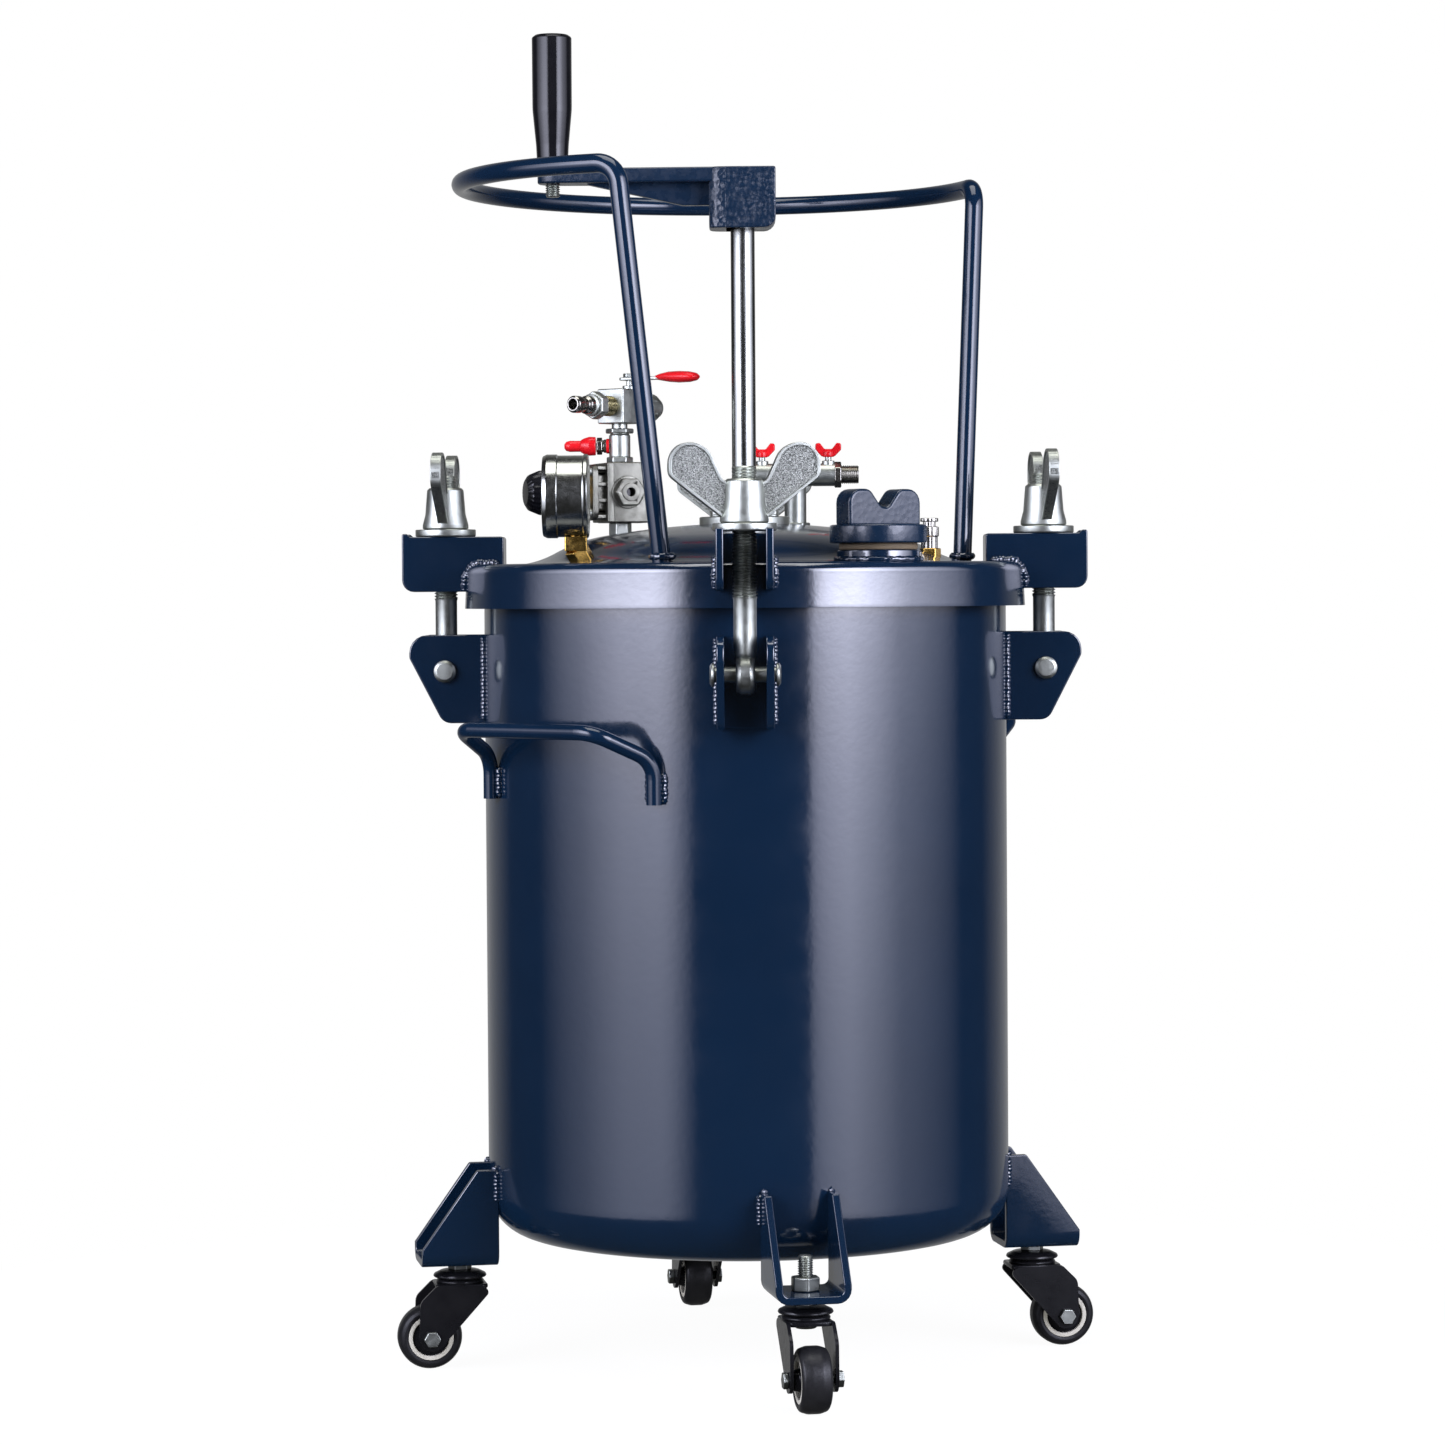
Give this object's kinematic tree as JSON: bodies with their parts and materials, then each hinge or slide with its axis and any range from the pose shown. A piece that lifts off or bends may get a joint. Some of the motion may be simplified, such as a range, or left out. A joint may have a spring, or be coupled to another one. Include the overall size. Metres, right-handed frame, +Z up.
{
  "type": "pressure pot",
  "caption": "Lidded air-pressure pot on swivel casters with swing-bolt clamps, hand-cranked stirrer, regulator, gauge, outlet cocks and filler cap.",
  "frame": {"origin": "centre of the bounding box's base, on the floor under the pot's axis", "axes": "+Z up along the pot's axis, -Y is the front, +X is right seen from the front"},
  "size_m": [0.4744, 0.4744, 0.8945],
  "materials": {
    "navy_paint": "gloss",
    "rubber_seal": "matte",
    "zinc_plate": "satin",
    "cast_zinc": "rough",
    "stainless": "polished",
    "brass": "satin",
    "chrome": "polished",
    "die_cast": "satin",
    "dial_face": "matte",
    "clear_lens": "clear",
    "black_plastic": "gloss",
    "red_vinyl": "gloss",
    "black_steel": "gloss",
    "tyre": "satin"
  },
  "bodies": {
    "tank": {"tank_shell": "navy_paint", "lid_gasket": "rubber_seal", "lid": "navy_paint", "lid_brackets": "navy_paint", "tank_brackets": "navy_paint", "pivot_pins": "zinc_plate", "leg_brackets": "navy_paint", "caster_stems": "zinc_plate", "caster_stem_nuts": "zinc_plate", "ring_handle": "navy_paint", "side_handles": "navy_paint", "shaft_gland": "zinc_plate", "gland_screws": "zinc_plate", "gauge_elbow": "brass", "gauge_case": "chrome", "gauge_dial": "dial_face", "gauge_lens": "clear_lens", "regulator_body": "die_cast", "regulator_riser": "zinc_plate", "manifold_union": "zinc_plate", "inlet_valve": "zinc_plate", "inlet_plug": "zinc_plate", "outlet_riser": "zinc_plate", "outlet_valves": "zinc_plate", "dip_tube": "stainless", "filler_neck": "navy_paint", "safety_valve": "brass"},
    "agitator": {"agitator_shaft": "stainless", "impeller": "stainless", "crank_arm": "navy_paint", "crank_screw": "zinc_plate"},
    "crank_grip": {"crank_grip": "black_plastic"},
    "swing_bolt_front": {"swing_bolt_front": "zinc_plate"},
    "washer_front": {"washer_front": "zinc_plate"},
    "wing_nut_front": {"wing_nut_front": "cast_zinc"},
    "swing_bolt_right": {"swing_bolt_right": "zinc_plate"},
    "washer_right": {"washer_right": "zinc_plate"},
    "wing_nut_right": {"wing_nut_right": "cast_zinc"},
    "swing_bolt_back": {"swing_bolt_back": "zinc_plate"},
    "washer_back": {"washer_back": "zinc_plate"},
    "wing_nut_back": {"wing_nut_back": "cast_zinc"},
    "swing_bolt_left": {"swing_bolt_left": "zinc_plate"},
    "washer_left": {"washer_left": "zinc_plate"},
    "wing_nut_left": {"wing_nut_left": "cast_zinc"},
    "caster_fork_front": {"caster_fork_front": "black_steel"},
    "caster_wheel_front": {"caster_wheel_front": "tyre"},
    "caster_fork_right": {"caster_fork_right": "black_steel"},
    "caster_wheel_right": {"caster_wheel_right": "tyre"},
    "caster_fork_back": {"caster_fork_back": "black_steel"},
    "caster_wheel_back": {"caster_wheel_back": "tyre"},
    "caster_fork_left": {"caster_fork_left": "black_steel"},
    "caster_wheel_left": {"caster_wheel_left": "tyre"},
    "inlet_lever": {"inlet_lever": "red_vinyl"},
    "bleed_cap": {"bleed_cap": "red_vinyl"},
    "outlet_handle_right": {"outlet_handle_right": "red_vinyl"},
    "outlet_handle_left": {"outlet_handle_left": "red_vinyl"},
    "regulator_knob": {"regulator_knob": "black_plastic"},
    "filler_gasket": {"filler_gasket": "rubber_seal"},
    "filler_cap": {"filler_cap": "navy_paint"},
    "gauge_needle": {"gauge_needle": "black_plastic"}
  },
  "joints": [
    {"name": "agitator_spin", "type": "hinge", "parent": "tank", "child": "agitator", "pos_m": [0, 0, 0.7], "axis": [0, 0, 1], "continuous": true},
    {"name": "crank_grip_spin", "type": "hinge", "parent": "agitator", "child": "crank_grip", "pos_m": [-0.1278, 0, 0.85], "axis": [0, 0, 1], "continuous": true},
    {"name": "bolt_swing_front", "type": "hinge", "parent": "tank", "child": "swing_bolt_front", "pos_m": [0, -0.202, 0.4665], "axis": [1, 0, 0], "range_deg": [0, 30]},
    {"name": "nut_lift_front", "type": "slide", "parent": "swing_bolt_front", "child": "washer_front", "axis": [0, 0, 1], "range_m": [0, 0.024]},
    {"name": "nut_spin_front", "type": "hinge", "parent": "washer_front", "child": "wing_nut_front", "pos_m": [0, -0.202, 0.57], "axis": [0, 0, 1], "range_deg": [0, 4320]},
    {"name": "bolt_swing_right", "type": "hinge", "parent": "tank", "child": "swing_bolt_right", "pos_m": [0.202, 0, 0.4665], "axis": [0, 1, 0], "range_deg": [0, 30]},
    {"name": "nut_lift_right", "type": "slide", "parent": "swing_bolt_right", "child": "washer_right", "axis": [0, 0, 1], "range_m": [0, 0.024]},
    {"name": "nut_spin_right", "type": "hinge", "parent": "washer_right", "child": "wing_nut_right", "pos_m": [0.202, 0, 0.57], "axis": [0, 0, 1], "range_deg": [0, 4320]},
    {"name": "bolt_swing_back", "type": "hinge", "parent": "tank", "child": "swing_bolt_back", "pos_m": [0, 0.202, 0.4665], "axis": [-1, 0, 0], "range_deg": [0, 30]},
    {"name": "nut_lift_back", "type": "slide", "parent": "swing_bolt_back", "child": "washer_back", "axis": [0, 0, 1], "range_m": [0, 0.024]},
    {"name": "nut_spin_back", "type": "hinge", "parent": "washer_back", "child": "wing_nut_back", "pos_m": [0, 0.202, 0.57], "axis": [0, 0, 1], "range_deg": [0, 4320]},
    {"name": "bolt_swing_left", "type": "hinge", "parent": "tank", "child": "swing_bolt_left", "pos_m": [-0.202, 0, 0.4665], "axis": [0, -1, 0], "range_deg": [0, 30]},
    {"name": "nut_lift_left", "type": "slide", "parent": "swing_bolt_left", "child": "washer_left", "axis": [0, 0, 1], "range_m": [0, 0.024]},
    {"name": "nut_spin_left", "type": "hinge", "parent": "washer_left", "child": "wing_nut_left", "pos_m": [-0.202, 0, 0.57], "axis": [0, 0, 1], "range_deg": [0, 4320]},
    {"name": "caster_swivel_front", "type": "hinge", "parent": "tank", "child": "caster_fork_front", "pos_m": [0.03565, -0.19426, 0.06], "axis": [0, 0, 1], "continuous": true},
    {"name": "caster_roll_front", "type": "hinge", "parent": "caster_fork_front", "child": "caster_wheel_front", "pos_m": [0.03939, -0.21462, 0.0215], "axis": [0.9836, 0.1805, 0], "continuous": true},
    {"name": "caster_swivel_right", "type": "hinge", "parent": "tank", "child": "caster_fork_right", "pos_m": [0.19426, 0.03565, 0.06], "axis": [0, 0, 1], "continuous": true},
    {"name": "caster_roll_right", "type": "hinge", "parent": "caster_fork_right", "child": "caster_wheel_right", "pos_m": [0.21462, 0.03939, 0.0215], "axis": [-0.1805, 0.9836, 0], "continuous": true},
    {"name": "caster_swivel_back", "type": "hinge", "parent": "tank", "child": "caster_fork_back", "pos_m": [-0.03565, 0.19426, 0.06], "axis": [0, 0, 1], "continuous": true},
    {"name": "caster_roll_back", "type": "hinge", "parent": "caster_fork_back", "child": "caster_wheel_back", "pos_m": [-0.03939, 0.21462, 0.0215], "axis": [-0.9836, -0.1805, 0], "continuous": true},
    {"name": "caster_swivel_left", "type": "hinge", "parent": "tank", "child": "caster_fork_left", "pos_m": [-0.19426, -0.03565, 0.06], "axis": [0, 0, 1], "continuous": true},
    {"name": "caster_roll_left", "type": "hinge", "parent": "caster_fork_left", "child": "caster_wheel_left", "pos_m": [-0.21462, -0.03939, 0.0215], "axis": [0.1805, -0.9836, 0], "continuous": true},
    {"name": "inlet_lever_turn", "type": "hinge", "parent": "tank", "child": "inlet_lever", "pos_m": [-0.07812, 0.04983, 0.665], "axis": [0, 0, 1], "range_deg": [0, 90]},
    {"name": "bleed_cap_turn", "type": "hinge", "parent": "tank", "child": "bleed_cap", "pos_m": [-0.105, 0.04, 0.619], "axis": [1, 0, 0], "range_deg": [0, 90]},
    {"name": "outlet_turn_right", "type": "hinge", "parent": "tank", "child": "outlet_handle_right", "pos_m": [0.0585, 0.085, 0.615], "axis": [0, 0, 1], "range_deg": [0, 90]},
    {"name": "outlet_turn_left", "type": "hinge", "parent": "tank", "child": "outlet_handle_left", "pos_m": [0.0125, 0.085, 0.615], "axis": [0, 0, 1], "range_deg": [0, 90]},
    {"name": "regulator_knob_turn", "type": "hinge", "parent": "tank", "child": "regulator_knob", "pos_m": [-0.1309, 0.02597, 0.587], "axis": [-0.9563, -0.2924, 0], "range_deg": [-720, 720]},
    {"name": "filler_cap_lift", "type": "slide", "parent": "tank", "child": "filler_gasket", "axis": [0, 0, 1], "range_m": [0, 0.012]},
    {"name": "filler_cap_turn", "type": "hinge", "parent": "filler_gasket", "child": "filler_cap", "pos_m": [0.0865, -0.1298, 0.555], "axis": [0, 0, 1], "range_deg": [0, 1080]},
    {"name": "gauge_needle_turn", "type": "hinge", "parent": "tank", "child": "gauge_needle", "pos_m": [-0.1255, -0.095, 0.582], "axis": [1, 0, 0], "range_deg": [0, 270]}
  ],
  "couplings": [
    {"joint": "nut_lift_front", "follows": "nut_spin_front", "m_per_rad": 0.00031828},
    {"joint": "bolt_swing_front", "follows": "nut_spin_front", "ratio": 0.0069438},
    {"joint": "nut_lift_right", "follows": "nut_spin_right", "m_per_rad": 0.00031828},
    {"joint": "bolt_swing_right", "follows": "nut_spin_right", "ratio": 0.0069438},
    {"joint": "nut_lift_back", "follows": "nut_spin_back", "m_per_rad": 0.00031828},
    {"joint": "bolt_swing_back", "follows": "nut_spin_back", "ratio": 0.0069438},
    {"joint": "nut_lift_left", "follows": "nut_spin_left", "m_per_rad": 0.00031828},
    {"joint": "bolt_swing_left", "follows": "nut_spin_left", "ratio": 0.0069438},
    {"joint": "filler_cap_lift", "follows": "filler_cap_turn", "m_per_rad": 0.00063656}
  ]
}
